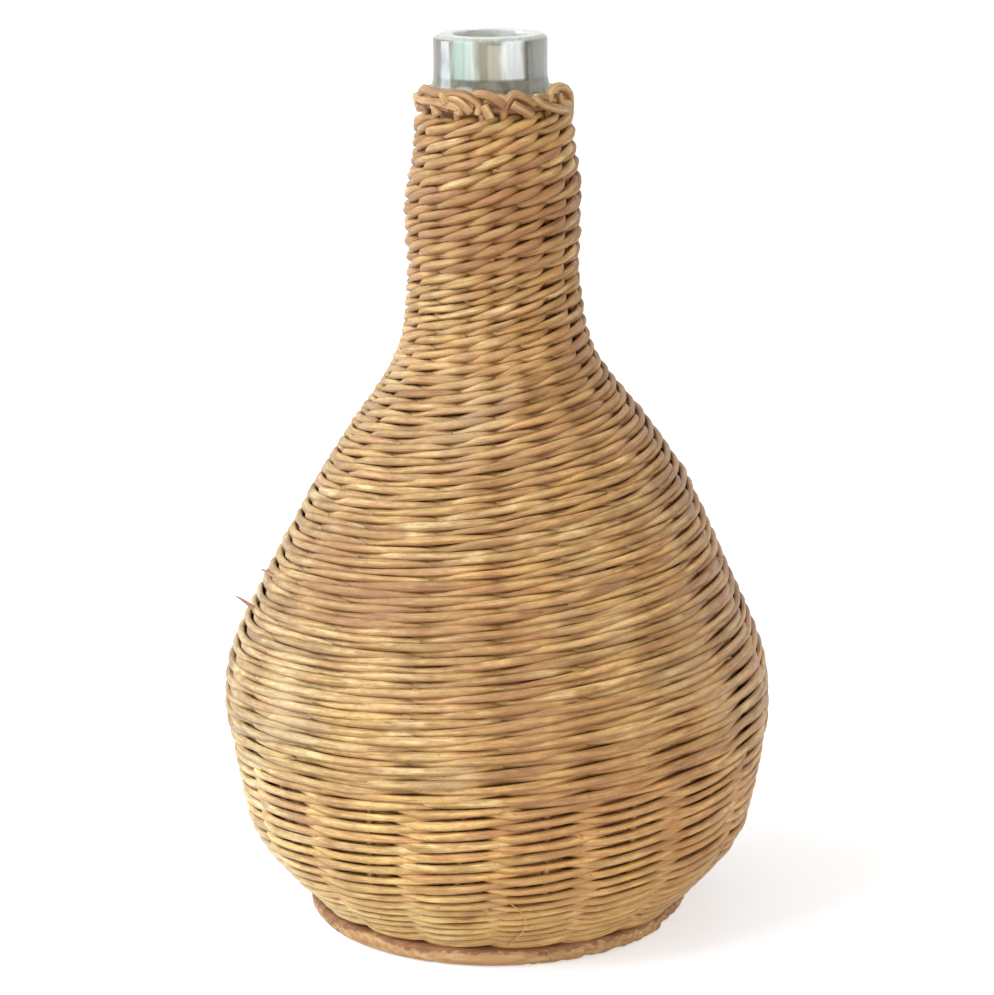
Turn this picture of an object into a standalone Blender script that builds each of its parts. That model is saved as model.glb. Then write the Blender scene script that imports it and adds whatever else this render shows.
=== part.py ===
"""Glass bottle in a wicker cover on a wooden base.

The basket is woven on the bottle, so every size of the wicker follows the outline of the
glass: a back weaver lies on the glass, the stakes stand on the back weavers, and the front
weavers lie on the stakes.
"""

import math

import bmesh
import bpy
from mathutils import Matrix, Vector

MM = 0.001

# Wooden base, which reaches BASE_RIM past the circle of its stake holes
BASE_RIM = 7.2 * MM
BASE_THICKNESS = 6.5 * MM
BASE_EDGE_ROUND = 1.0 * MM
HOLE_FLOOR = 2.3 * MM
BASE_SIDES = 51
HOLE_SIDES = 6

# Glass bottle, with its heights stacked from the foot up
FOOT_RADIUS = 48.0 * MM
BELLY_RADIUS = 82.3 * MM
BELLY_HEIGHT = 65.0 * MM
SHOULDER_HEIGHT = 135.0 * MM
NECK_RADIUS = 19.6 * MM
NECK_HEIGHT = 26.0 * MM
NECK_TAPER_HEIGHT = 19.0 * MM
THROAT_RADIUS = 17.0 * MM
THROAT_HEIGHT = 12.4 * MM
BEAD_HEIGHT = 5.2 * MM
BEAD_ROUND = 1.6 * MM
COLLAR_SLOPE_HEIGHT = 3.6 * MM
COLLAR_RADIUS = 17.9 * MM
COLLAR_HEIGHT = 13.0 * MM
LIP_ROUND = 2.4 * MM
GLASS_WALL = 3.0 * MM
MOUTH_BORE_RADIUS = 11.5 * MM
PUNT_HEIGHT = 9.0 * MM
PUNT_RIM_WIDTH = 5.0 * MM
PUNT_RISE_SHARE = 0.75
GLASS_SIDES = 26

# Outline of the glass as (height share, radius share), from the foot to the widest place
LOWER_BODY_SHARES = (
    (0.0, 0.0), (0.12, 0.26), (0.34, 0.71), (0.60, 0.88), (1.0, 1.0),
)
# Outline from the widest place to the start of the neck, as (height share, radius share)
SHOULDER_SHARES = (
    (0.11, 0.968), (0.20, 0.885), (0.46, 0.60), (0.62, 0.39), (0.76, 0.158), (0.87, 0.048),
    (1.0, 0.0),
)

# Wicker
STAKE_COUNT = 17
STAKE_DIAMETER = 2.4 * MM
WEAVER_THICKNESS = 1.9 * MM
COURSE_PITCH = 5.05 * MM
COURSE_GAP = 0.6 * MM
WEAVER_COUNT = 11
STAKES_PER_STROKE = 3
CLEARANCE = 0.3 * MM
BORDER_HEIGHT = 6.2 * MM

# Top end of a stake, bent to the right over the next one, as (share of the space to the
# next stake, share of the outward step, share of the border's height)
BORDER_STROKE_SHARES = (
    (0.05, 0.00, 0.62), (0.22, 0.08, 0.94), (0.45, 0.48, 1.00), (0.72, 0.95, 0.80),
    (1.00, 1.00, 0.48), (1.34, 1.00, 0.12),
)

STEEPEST_CROSSING = math.radians(60)
GLASS_SHARP_ANGLE = math.radians(40)
BASE_SHARP_ANGLE = math.radians(60)
FRONT_ANGLE = -math.pi / 2
STAKE_STEP = 2 * math.pi / STAKE_COUNT
FIRST_STAKE_ANGLE = FRONT_ANGLE + STAKE_STEP / 2
GLASS_FOOT_Z = BASE_THICKNESS + CLEARANCE
BELLY_Z = GLASS_FOOT_Z + BELLY_HEIGHT
NECK_Z = BELLY_Z + SHOULDER_HEIGHT
TAPER_Z = NECK_Z + NECK_HEIGHT
THROAT_Z = TAPER_Z + NECK_TAPER_HEIGHT
BEAD_Z = THROAT_Z + THROAT_HEIGHT
COLLAR_Z = BEAD_Z + BEAD_HEIGHT + COLLAR_SLOPE_HEIGHT
GLASS_TOP_Z = COLLAR_Z + COLLAR_HEIGHT
MERGE = 0.01 * MM


def clear_scene():
    for item in list(bpy.data.objects):
        bpy.data.objects.remove(item, do_unlink=True)


def new_collection(name):
    collection = bpy.data.collections.new(name)
    bpy.context.scene.collection.children.link(collection)
    return collection


def new_material(name, colour, roughness, metallic=0.0, transmission=0.0):
    material = bpy.data.materials.new(name)
    material.use_nodes = True
    shader = material.node_tree.nodes["Principled BSDF"]
    shader.inputs["Base Color"].default_value = (*colour, 1.0)
    shader.inputs["Roughness"].default_value = roughness
    shader.inputs["Metallic"].default_value = metallic
    shader.inputs["Transmission Weight"].default_value = transmission
    return material


def add_object(name, data, collection, material=None):
    item = bpy.data.objects.new(name, data)
    collection.objects.link(item)
    if material:
        data.materials.append(material)
    return item


# Outline of the glass


def body_outline():
    """(radius, height) of the glass from the foot to the throat, bottom to top."""
    points = []
    for height_share, radius_share in LOWER_BODY_SHARES:
        radius = FOOT_RADIUS + radius_share * (BELLY_RADIUS - FOOT_RADIUS)
        points.append(Vector((radius, GLASS_FOOT_Z + height_share * BELLY_HEIGHT)))
    for height_share, radius_share in SHOULDER_SHARES:
        radius = NECK_RADIUS + radius_share * (BELLY_RADIUS - NECK_RADIUS)
        points.append(Vector((radius, BELLY_Z + height_share * SHOULDER_HEIGHT)))
    points.append(Vector((NECK_RADIUS, TAPER_Z)))
    points.append(Vector((THROAT_RADIUS, THROAT_Z)))
    return points


def outward_normals(points):
    """Mitred outward normals of an outline that runs from bottom to top."""
    legs = [(there - here).normalized() for here, there in zip(points, points[1:])]
    normals = []
    for into, out in zip(legs[:1] + legs, legs + legs[-1:]):
        along = (into + out).normalized()
        normals.append(Vector((along.y, -along.x)) / along.dot(into))
    return normals


def arc(centre, radius, start, end, steps):
    """Points of an arc in the plane of the outline, with its angles in radians."""
    turn = (end - start) / steps
    return [
        centre + radius * Vector((math.cos(start + turn * i), math.sin(start + turn * i)))
        for i in range(steps + 1)
    ]


def finish_outline():
    """Outer outline of bead, collar and lip, bottom to top, then over into the bore.

    The bead stands out as far as the back weavers do, so the stakes pass in front of it.
    """
    bead_radius = THROAT_RADIUS + WEAVER_THICKNESS + 2 * CLEARANCE
    quarter = math.pi / 2
    low = Vector((bead_radius - BEAD_ROUND, BEAD_Z + BEAD_ROUND))
    high = Vector((bead_radius - BEAD_ROUND, BEAD_Z + BEAD_HEIGHT - BEAD_ROUND))
    lip = Vector((COLLAR_RADIUS - LIP_ROUND, GLASS_TOP_Z - LIP_ROUND))
    mouth = Vector((MOUTH_BORE_RADIUS + LIP_ROUND / 2, GLASS_TOP_Z - LIP_ROUND / 2))
    points = [Vector((THROAT_RADIUS, BEAD_Z))]
    points += arc(low, BEAD_ROUND, -quarter, 0, 2)
    points += arc(high, BEAD_ROUND, 0, quarter / 2, 1)
    points.append(Vector((COLLAR_RADIUS, COLLAR_Z)))
    points += arc(lip, LIP_ROUND, 0, quarter, 3)
    points += arc(mouth, LIP_ROUND / 2, quarter, 2 * quarter, 2)
    return points


def bore_outline():
    """Inner outline of the glass, from the mouth down to the middle of the punt."""
    outer = body_outline()
    normals = outward_normals(outer)
    points = [Vector((MOUTH_BORE_RADIUS, COLLAR_Z))]
    points.append(Vector((THROAT_RADIUS - GLASS_WALL, BEAD_Z)))
    for point, normal in list(zip(outer, normals))[:0:-1]:
        points.append(point - normal * GLASS_WALL)
    floor = GLASS_FOOT_Z + GLASS_WALL
    points.append(Vector((FOOT_RADIUS - PUNT_RIM_WIDTH / 2, floor)))
    middle = (FOOT_RADIUS - PUNT_RIM_WIDTH) / 2
    points.append(Vector((middle, floor + PUNT_HEIGHT * PUNT_RISE_SHARE)))
    points.append(Vector((0.0, floor + PUNT_HEIGHT)))
    return points


def glass_profile():
    """Closed section of the bottle: up the inside from the axis, then down the outside."""
    inside = list(reversed(bore_outline()))
    outside = list(reversed(body_outline()))
    over_lip = list(reversed(finish_outline()))
    rim = FOOT_RADIUS - PUNT_RIM_WIDTH
    underside = [
        Vector((rim, GLASS_FOOT_Z)),
        Vector((rim / 2, GLASS_FOOT_Z + PUNT_HEIGHT * PUNT_RISE_SHARE)),
        Vector((0.0, GLASS_FOOT_Z + PUNT_HEIGHT)),
    ]
    return inside + over_lip + outside + underside


# Line of a stake, in the plane through the bottle's axis


def weave_offsets(radius):
    """How far a weaver's middle lies in front of a stake and behind it, at this radius.

    A stroke crosses from the front of one stake to the back of the next. The smaller the
    circle, the steeper it crosses, and the further out it has to start to miss the stake.
    """
    spacing = 2 * radius * math.sin(STAKE_STEP / 2)
    needed = STAKE_DIAMETER / 2 + WEAVER_THICKNESS / 2 + CLEARANCE
    front = back = needed
    for _ in range(20):
        slant = math.atan2(front + back, spacing)
        front = needed / math.cos(min(slant + STAKE_STEP / 2, STEEPEST_CROSSING))
        back = needed / math.cos(slant - STAKE_STEP / 2)
    return front, back


def stake_outline():
    """(radius, height) of a stake's middle, from the base's top face to the border."""
    outer = body_outline()
    normals = outward_normals(outer)
    points = []
    for point, normal in list(zip(outer, normals))[1:]:
        away = WEAVER_THICKNESS / 2 + CLEARANCE
        away += weave_offsets(point.x + STAKE_DIAMETER)[1]
        points.append(point + normal * away)
    top = Vector((points[-1].x, BEAD_Z - COURSE_PITCH / 2 - CLEARANCE))
    lowest = BASE_THICKNESS + STAKE_DIAMETER / 2
    kept = [point for point in points if point.y > lowest + STAKE_DIAMETER]
    first, second = kept[0], kept[1]
    slope = (second.x - first.x) / (second.y - first.y)
    start = Vector((first.x - slope * (first.y - lowest), lowest))
    return [start] + kept + [top]


class Meridian:
    """A line in the plane through the axis, read by the length along it."""

    def __init__(self, points):
        self.points = points
        self.normals = outward_normals(points)
        self.lengths = [0.0]
        for here, there in zip(points, points[1:]):
            self.lengths.append(self.lengths[-1] + (there - here).length)

    def at(self, length):
        """Point and outward normal at this length."""
        i = 0
        while i < len(self.points) - 2 and length > self.lengths[i + 1]:
            i += 1
        share = (length - self.lengths[i]) / (self.lengths[i + 1] - self.lengths[i])
        point = self.points[i].lerp(self.points[i + 1], share)
        normal = self.normals[i].lerp(self.normals[i + 1], share).normalized()
        return point, normal


def around(point, angle):
    """Turns a point of the outline's plane to its place round the axis."""
    return Vector((point.x * math.cos(angle), point.x * math.sin(angle), point.y))


# Pieces


def make_glass(collection, material):
    """The bottle, turned from its section."""
    mesh = bpy.data.meshes.new("glass_bottle")
    corners = [(point.x, 0.0, point.y) for point in glass_profile()]
    mesh.from_pydata(corners, [(i, i + 1) for i in range(len(corners) - 1)], [])
    glass = add_object("glass_bottle", mesh, collection, material)
    screw = glass.modifiers.new("Turn", "SCREW")
    screw.axis = "Z"
    screw.steps = GLASS_SIDES
    screw.render_steps = GLASS_SIDES
    screw.use_merge_vertices = True
    screw.merge_threshold = MERGE
    graph = bpy.context.evaluated_depsgraph_get()
    glass.data = bpy.data.meshes.new_from_object(glass.evaluated_get(graph))
    glass.modifiers.clear()
    bpy.data.meshes.remove(mesh)
    glass.data.shade_smooth()
    glass.data.set_sharp_from_angle(angle=GLASS_SHARP_ANGLE)


def make_base(stake_circle, collection, cutters, material):
    """Round board with a blind hole for each stake."""
    bpy.ops.mesh.primitive_cylinder_add(
        vertices=BASE_SIDES,
        radius=stake_circle + BASE_RIM,
        depth=BASE_THICKNESS,
        location=(0, 0, BASE_THICKNESS / 2),
    )
    base = bpy.context.active_object
    base.name = "wooden_base"
    for other in list(base.users_collection):
        other.objects.unlink(base)
    collection.objects.link(base)
    base.data.materials.append(material)
    bevel = base.modifiers.new("Worn edge", "BEVEL")
    bevel.width = BASE_EDGE_ROUND
    bevel.segments = 1
    bevel.limit_method = "ANGLE"
    bevel.angle_limit = BASE_SHARP_ANGLE
    holes = base.modifiers.new("Stake holes", "BOOLEAN")
    holes.object = make_stake_drill(stake_circle, cutters)
    holes.operation = "DIFFERENCE"
    holes.solver = "EXACT"


def make_stake_drill(stake_circle, cutters):
    """One cutter with a drill for each stake, standing half out of the base's top face."""
    mesh = bpy.data.meshes.new("stake_drill")
    shape = bmesh.new()
    length = 2 * (BASE_THICKNESS - HOLE_FLOOR)
    hole_radius = (STAKE_DIAMETER / 2 + CLEARANCE) / math.cos(math.pi / HOLE_SIDES)
    for number in range(STAKE_COUNT):
        angle = FIRST_STAKE_ANGLE + number * STAKE_STEP
        place = around(Vector((stake_circle, BASE_THICKNESS)), angle)
        bmesh.ops.create_cone(
            shape,
            cap_ends=True,
            segments=HOLE_SIDES,
            radius1=hole_radius,
            radius2=hole_radius,
            depth=length,
            matrix=Matrix.Translation(place) @ Matrix.Rotation(angle, 4, "Z"),
        )
    shape.to_mesh(mesh)
    shape.free()
    drill = add_object("stake_drill", mesh, cutters)
    drill.hide_render = True
    drill.display_type = "WIRE"
    return drill


def new_poly_curve(name, points):
    """Curve with straight stretches between the points and its ends capped."""
    curve = bpy.data.curves.new(name, "CURVE")
    curve.dimensions = "3D"
    curve.use_fill_caps = True
    spline = curve.splines.new("POLY")
    spline.points.add(len(points) - 1)
    for spline_point, point in zip(spline.points, points):
        spline_point.co = (*point, 1.0)
    return curve


def stake_points(line):
    """Middle of the stake at angle 0: out of its hole, up the bottle, over the next one."""
    start, top = line.points[0], line.points[-1]
    points = [around(Vector((start.x, HOLE_FLOOR + CLEARANCE)), 0.0)]
    points += [around(point, 0.0) for point in line.points]
    step_out = STAKE_DIAMETER + CLEARANCE
    for turn_share, out_share, height_share in BORDER_STROKE_SHARES:
        place = Vector((top.x + step_out * out_share, top.y + BORDER_HEIGHT * height_share))
        points.append(around(place, STAKE_STEP * turn_share))
    return points


def make_stakes(line, collection, material):
    """The upright rods, all of one shape, turned to their places round the axis."""
    curve = new_poly_curve("stake", stake_points(line))
    curve.bevel_depth = STAKE_DIAMETER / 2
    curve.bevel_resolution = 1
    curve.materials.append(material)
    for number in range(STAKE_COUNT):
        stake = add_object(f"stake_{number + 1:02d}", curve, collection)
        stake.rotation_euler.z = FIRST_STAKE_ANGLE + number * STAKE_STEP


def weaver_section(height, cutters):
    """Section of a weaver, the flat closed curve that its path is bevelled with."""
    curve = bpy.data.curves.new("weaver_section", "CURVE")
    curve.dimensions = "2D"
    curve.fill_mode = "NONE"
    spline = curve.splines.new("POLY")
    corners = (
        (WEAVER_THICKNESS / 2, 0.0), (0.0, -height / 2),
        (-WEAVER_THICKNESS / 2, 0.0), (0.0, height / 2),
    )
    spline.points.add(len(corners) - 1)
    for point, corner in zip(spline.points, corners):
        point.co = (*corner, 0.0, 1.0)
    spline.use_cyclic_u = True
    section = add_object("weaver_section", curve, cutters)
    section.hide_render = True
    section.display_type = "WIRE"
    return section


class Weave:
    """The spiral that the weavers follow, counted in crossings, one at each stake.

    A weaver passes in front of two stakes and behind the third, and the number of stakes
    isn't a multiple of three, so each course is one stake out of step with the last.
    """

    def __init__(self, line):
        self.line = line
        self.start = self.lowest_length()
        room = line.lengths[-1] - self.start
        self.courses = int(room / COURSE_PITCH)
        self.pitch = room / self.courses
        self.crossings = (self.courses - 1) * STAKE_COUNT

    def lowest_length(self):
        """Length along the stakes at which the first course clears the base."""
        length = 0.0
        lowest = 0.0
        while lowest < BASE_THICKNESS + CLEARANCE:
            length += CLEARANCE
            middle, normal = self.line.at(length)
            front, _ = weave_offsets(middle.x)
            centre = middle + normal * front
            lower_edge = centre.y - normal.x * COURSE_PITCH / 2
            outer_face = centre.y + normal.y * WEAVER_THICKNESS / 2
            lowest = min(lower_edge, outer_face)
        return length

    def crossing(self, count):
        """A weaver's middle at this crossing, and the tilt that lays it on the bottle."""
        middle, normal = self.line.at(self.start + self.pitch * count / STAKE_COUNT)
        front, back = weave_offsets(middle.x)
        behind = round(count) % STAKES_PER_STROKE == 0
        place = middle + normal * (-back if behind else front)
        angle = FIRST_STAKE_ANGLE + count * STAKE_STEP
        return around(place, angle), -math.atan2(normal.y, normal.x)

    def end_gap(self, count):
        """Share of a crossing by which a weaver's cut end stays clear of the next one's."""
        middle, _ = self.line.at(self.start + self.pitch * count / STAKE_COUNT)
        return (WEAVER_THICKNESS / 2 + CLEARANCE) / (STAKE_STEP * middle.x)

    def runs(self):
        """First and last crossing of each weaver; each ends behind a stake."""
        strokes = math.ceil(self.crossings / (WEAVER_COUNT * STAKES_PER_STROKE))
        starts = [number * strokes * STAKES_PER_STROKE for number in range(WEAVER_COUNT)]
        return list(zip(starts, starts[1:] + [self.crossings]))


def make_weavers(weave, collection, cutters, material):
    section = weaver_section(weave.pitch - COURSE_GAP, cutters)
    for number, (first, last) in enumerate(weave.runs()):
        counts = [float(count) for count in range(first, last + 1)]
        counts[0] += weave.end_gap(first)
        counts[-1] -= weave.end_gap(last)
        crossings = [weave.crossing(count) for count in counts]
        name = f"weaver_{number + 1:02d}"
        curve = new_poly_curve(name, [place for place, _ in crossings])
        for spline_point, (_, tilt) in zip(curve.splines[0].points, crossings):
            spline_point.tilt = tilt
        curve.twist_mode = "Z_UP"
        curve.bevel_mode = "OBJECT"
        curve.bevel_object = section
        add_object(name, curve, collection, material)


def main():
    clear_scene()
    parts = new_collection("Wicker bottle")
    cutters = new_collection("Cutters")
    glass = new_material("bottle_glass", (0.80, 0.86, 0.80), 0.04, transmission=0.9)
    wood = new_material("base_wood", (0.30, 0.16, 0.08), 0.75)
    stake_cane = new_material("stake_cane", (0.46, 0.28, 0.13), 0.6)
    weaver_cane = new_material("weaver_cane", (0.56, 0.36, 0.16), 0.55)

    line = Meridian(stake_outline())
    make_glass(parts, glass)
    make_base(line.points[0].x, parts, cutters, wood)
    make_stakes(line, parts, stake_cane)
    make_weavers(Weave(line), parts, cutters, weaver_cane)


main()
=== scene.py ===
"""Looks of the wicker-covered bottle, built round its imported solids."""

import math

import bpy
import numpy as np
from mathutils import Matrix, Vector, noise
from mathutils.bvhtree import BVHTree


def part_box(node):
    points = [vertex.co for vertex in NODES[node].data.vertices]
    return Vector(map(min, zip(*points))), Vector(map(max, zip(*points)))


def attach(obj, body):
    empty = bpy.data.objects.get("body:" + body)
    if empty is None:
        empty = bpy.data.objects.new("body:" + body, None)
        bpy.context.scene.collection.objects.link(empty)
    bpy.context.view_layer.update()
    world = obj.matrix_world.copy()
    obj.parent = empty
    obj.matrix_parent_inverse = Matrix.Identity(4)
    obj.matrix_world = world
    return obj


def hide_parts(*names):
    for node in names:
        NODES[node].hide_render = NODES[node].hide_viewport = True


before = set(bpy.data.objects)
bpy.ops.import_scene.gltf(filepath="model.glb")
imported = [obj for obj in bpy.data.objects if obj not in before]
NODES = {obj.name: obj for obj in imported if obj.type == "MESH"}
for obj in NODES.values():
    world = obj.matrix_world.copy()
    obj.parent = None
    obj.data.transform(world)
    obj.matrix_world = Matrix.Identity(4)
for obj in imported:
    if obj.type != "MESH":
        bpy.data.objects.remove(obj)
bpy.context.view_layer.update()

MM = 0.001
STAKES = sorted(name for name in NODES if name.startswith("stake_"))
WEAVERS = sorted(name for name in NODES if name.startswith("weaver_"))

# Places that the solids give
_, BASE_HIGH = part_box("wooden_base")
GLASS_LOW, GLASS_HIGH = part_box("glass_bottle")
BASE_TOP = BASE_HIGH.z
BASE_RADIUS = BASE_HIGH.x
STAKE_COUNT = len(STAKES)
STAKE_STEP = 2 * math.pi / STAKE_COUNT
FRONT_ANGLE = -math.pi / 2
FIRST_STAKE_ANGLE = FRONT_ANGLE + STAKE_STEP / 2
# The bead and the collar of the glass start this far under the mouth
BEAD_DEPTH = 21.8 * MM
COLLAR_DEPTH = 13.0 * MM
BEAD_BOTTOM = GLASS_HIGH.z - BEAD_DEPTH
COLLAR_BOTTOM = GLASS_HIGH.z - COLLAR_DEPTH

STAKE_WIDTH = 2.4 * MM
STAKE_DEPTH = 1.9 * MM
STAKE_SEAT = 3.5 * MM
BORDER_DIAMETER = 2.9 * MM
BORDER_STAND_OFF = 2.3 * MM
CONTACT_GAP = 0.1 * MM

# A rod's section swells on two and on three sides, and the swellings turn along the rod
TWIST_LENGTH = 38 * MM
UNEVENNESS = 0.11
THREE_SIDED_SHARE = 0.5
THREE_SIDED_SPIN = 1.7
# What sets one rod's spin and grain apart from the next one's, by its tint
TINT_SPIN = 5
TINT_GRAIN_ALONG = 7.0
TINT_GRAIN_ACROSS = 3.0
# Painted shade of a rod's back, as a share of that of its front, and rounding of a cut end
BACK_SHADE = 0.35
END_ROUNDING = 0.25

# How finely things are divided
SAMPLES_PER_STEP = 7
ROD_SIDES = 8
SPLINTER_SIDES = 6
SPLINE_SAMPLES = 4
STAKE_SPACING = 4 * MM
WEAVE_SPACING = 0.5 * MM
SEARCH_SPACING = 0.2 * MM
GLASS_SIDES = 96
BASE_SIDES = 360

# Starts of the random draws
WEAVER_SEED = 11
STAKE_SEED = 5
SPLINTER_SEED = 29

# Sizes up the bottle in mm: height, course pitch, rod height, rod thickness, and how far
# the stakes stand off past the rod behind them
ROD_SIZES = np.array((
    (8, 4.0, 2.35, 2.1, 2.3), (16, 3.9, 2.35, 2.1, 2.1), (22, 3.85, 2.45, 2.1, 1.6),
    (28, 3.8, 2.55, 2.1, 1.1), (36, 3.75, 2.62, 2.1, 1.4), (42, 3.75, 2.68, 2.1, 0.7),
    (50, 3.8, 2.75, 2.1, 0.2), (60, 4.0, 2.85, 2.1, 0.3), (66, 4.5, 2.8, 2.1, 0.4),
    (85, 4.75, 2.8, 2.1, 0.5), (92, 4.75, 2.8, 2.1, 0.2), (105, 4.7, 2.8, 2.1, -0.1),
    (134, 4.75, 2.8, 2.1, -0.1), (142, 4.75, 2.8, 2.1, 0.3), (150, 4.75, 2.85, 2.1, -0.1),
    (164, 4.8, 2.9, 2.1, 0.1), (176, 4.7, 2.85, 2.1, 0.2), (184, 4.65, 2.75, 2.1, -0.1),
    (190, 4.6, 2.7, 2.2, 0.4), (200, 4.75, 2.7, 2.2, 1.1), (206, 4.85, 2.65, 2.3, 1.1),
    (214, 5.0, 2.7, 2.4, 0.7), (222, 5.15, 2.75, 2.5, 1.0), (230, 5.25, 2.8, 2.5, 1.4),
    (238, 5.35, 2.8, 2.5, 1.8), (246, 5.4, 2.8, 2.5, 1.2), (262, 5.4, 2.85, 2.5, 1.0),
))

# Place of a rod in its course at each half step, from behind one stake to behind the next:
# share of the pitch that it lies up or down, and share of its depth in front of the stakes
PAIR_TOP = 62 * MM
PAIR_RISE_SHARES = np.array((0.0, -0.28, 0.0, 0.28))
PAIR_DEPTH_SHARES = np.array((-1.0, 0.75, 1.0, 0.5))
WALE_RISE_SHARES = np.array((0.0, -0.44, -0.22, 0.0, 0.22, 0.44))
WALE_DEPTH_SHARES = np.array((-1.0, 0.0, 0.93, 1.0, 0.95, -0.3))
# Stake at which the weaves start, and room that the wale leaves under the border
SPIRAL_START = 8
BORDER_ROOM = 2.2 * MM

# How rods stray: over how many stakes, and how far up or down, in or out, and in girth
RISE_STRAY = (3.2, 0.35 * MM)
DEPTH_STRAY = (2.4, 0.16 * MM)
GIRTH_STRAYS = ((23.0, 0.07), (3.0, 0.07))
GIRTH_SPREAD = 0.1
# Lengths of the waves in one stray, as shares of its own length
WAVE_SPREAD = (0.6, 1.7)
# The wale is looser on the right, from the first of these heights to the second
LOOSENESS = 0.06
LOOSE_HEIGHTS = (80 * MM, 110 * MM)
# Strokes of one rod, and how far its end runs on past the last of them, in stakes
ROD_STROKES = (14, 24)
END_LENGTHS = (0.3, 0.5)
# Past its end a rod comes free: it sinks and stands off by shares of its size, and thins
FREED_LENGTH = 0.5
FREED_SINK = 0.6
FREED_STAND_OFF = 0.7
FREED_THINNING = 0.25

# Two rods round the neck behind the border: stake that each starts from, and its height over
# the top of the stakes' line
HOOPS = ((8.4, 0.5 * MM), (3.2, 2.2 * MM))
HOOP_DIAMETER = 2.4 * MM
HOOP_OVERLAP = 0.6
HOOP_RISE_STRAY = (5.0, 0.5 * MM)
HOOP_DEPTH_STRAY = (2.0, 0.25 * MM)
HOOP_GIRTH_STRAY = (6.0, 0.08)
# Painted shade: the hoops behind the border are drawn darkest
HOOP_SHADE = -1.0

# Stakes drift off their even places on the way up, in degrees for each stake
STAKE_SWAY = np.radians((
    0.0, -1.8, 0.0, 1.5, -2.0, 1.0, 2.2, -1.0, 0.5, -2.2, 1.6, 0.8, -1.4, 1.2, -1.1, 3.8, 3.6,
))
SWAY_HEIGHT = 60 * MM

# The basket leans a little: height, and how far it sits to the right of the base, in mm
SIDE_SHIFTS = np.array((
    (8, 0.5), (30, 0.5), (50, 0.7), (62, 0.5), (72, 0.1), (92, 0.0), (104, 0.3), (120, 0.5),
    (140, 0.9), (190, 0.3), (228, 0.1), (246, 1.0), (264, 0.8),
))
# Its belly is a little flatter in front
FLATNESS = 1.0 * MM
FLATNESS_HEIGHT = 72 * MM
FLATNESS_REACH = 34 * MM
# Its right shoulder is fuller than the left one
FULLNESS = 2.4 * MM
FULLNESS_HEIGHT = 148 * MM
FULLNESS_REACH = 34 * MM

# Splinters that stand off the weave: angle from the front and height, in degrees and mm,
# then their length to the side, stand-off and thickness in mm
SPLINTERS = (
    (-79, 103.5, -8, 1.5, 1.9), (-76, 115, -5, 1.6, 1.6), (76, 119, 3, 1.6, 1.1),
    (1.5, 246, 2.6, 1.2, 1.6), (4, 220, 2.8, 1, 1.5), (22, 214, 2.4, 0.9, 1.3),
    (-62, 166, -3.2, 1, 1.6), (38, 148, 2.8, 0.7, 1.3), (-18, 96, 3, 0.5, 1.2),
    (30, 76, 3.4, 0.6, 1.3), (-46, 70, -3, 0.8, 1.3), (120, 130, 3, 1, 1.4),
    (-150, 100, -4, 1.2, 1.4), (165, 60, 3.4, 0.8, 1.3), (-120, 190, 2.6, 0.9, 1.2),
)
# Where they start over the stakes in mm, and how they curl back, flare, arch and thin out
SPLINTER_ROOT = 1.8
SPLINTER_CURL = 0.25
SPLINTER_FLARE = 0.75
SPLINTER_ARCH = (0.9, 1.3)
SPLINTER_TIP = 0.25
SPLINTER_POINTS = 5
SPLINTER_SHADE = -0.35
# Thin fibre low on the front: angle from the front, height and stand-off, in degrees and mm
FIBRE = (
    (2.6, 30.5, 3.1), (4.6, 28.5, 3.8), (6.0, 25.0, 4.3), (6.2, 20.5, 4.2), (4.6, 15.5, 3.7),
    (2.6, 11.5, 3.3),
)
FIBRE_DIAMETER = 0.4 * MM
FIBRE_SHADE = 1.0

# Border ends of the stakes, from the one left of the front on: how many stakes on, how far
# out as a share of the stand-off, and height over the top of the weave in mm
BORDER_ENDS = (
    ((-0.1, 0.6, 2.4), (0.2, 0.9, 4.4), (0.65, 1, 5.8), (1.4, 1, 5.2), (2.2, 1, 5.6),
     (2.65, 1, 4.2), (2.9, 0.9, 2.2), (2.85, 0.8, -0.6)),
    ((0.1, 0.2, 2), (0.5, 0.5, 3.8), (1, 0.9, 4), (1.35, 1, 2.2), (1.62, 1, -0.1)),
    ((0.15, 0.1, 2.6), (0.5, 0.3, 4.6), (0.95, 0.6, 5.4), (1.3, 0.8, 5), (1.75, 0.9, 3.4),
     (2, 0.9, 2)),
    ((0.1, 0.1, 2.6), (0.4, 0.3, 4), (0.8, 0.45, 4.2), (1.1, 0.5, 3.4), (1.8, 0.35, 1.2)),
    ((0.05, 0.7, 2.4), (0.27, 0.9, 4.9), (0.5, 1, 5), (0.9, 1, 3.4), (1.15, 0.9, 1.8)),
    ((0.02, 0.5, 2.4), (0.2, 0.9, 3.2), (0.5, 1, 1.6), (1.2, 1, -0.4), (2.1, 1, -1.8)),
    ((-0.12, 0.4, 2.4), (-0.06, 0.6, 5.2), (0.15, 0.8, 6.3), (0.5, 0.95, 6), (0.9, 1, 4.4),
     (1.2, 1, 1.8), (1.3, 1, -1.4)),
    ((0.05, 0.3, 2), (0.4, 0.5, 3), (0.9, 0.6, 2.6), (1.4, 0.8, 1.2), (1.7, 0.8, -0.6)),
)
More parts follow.
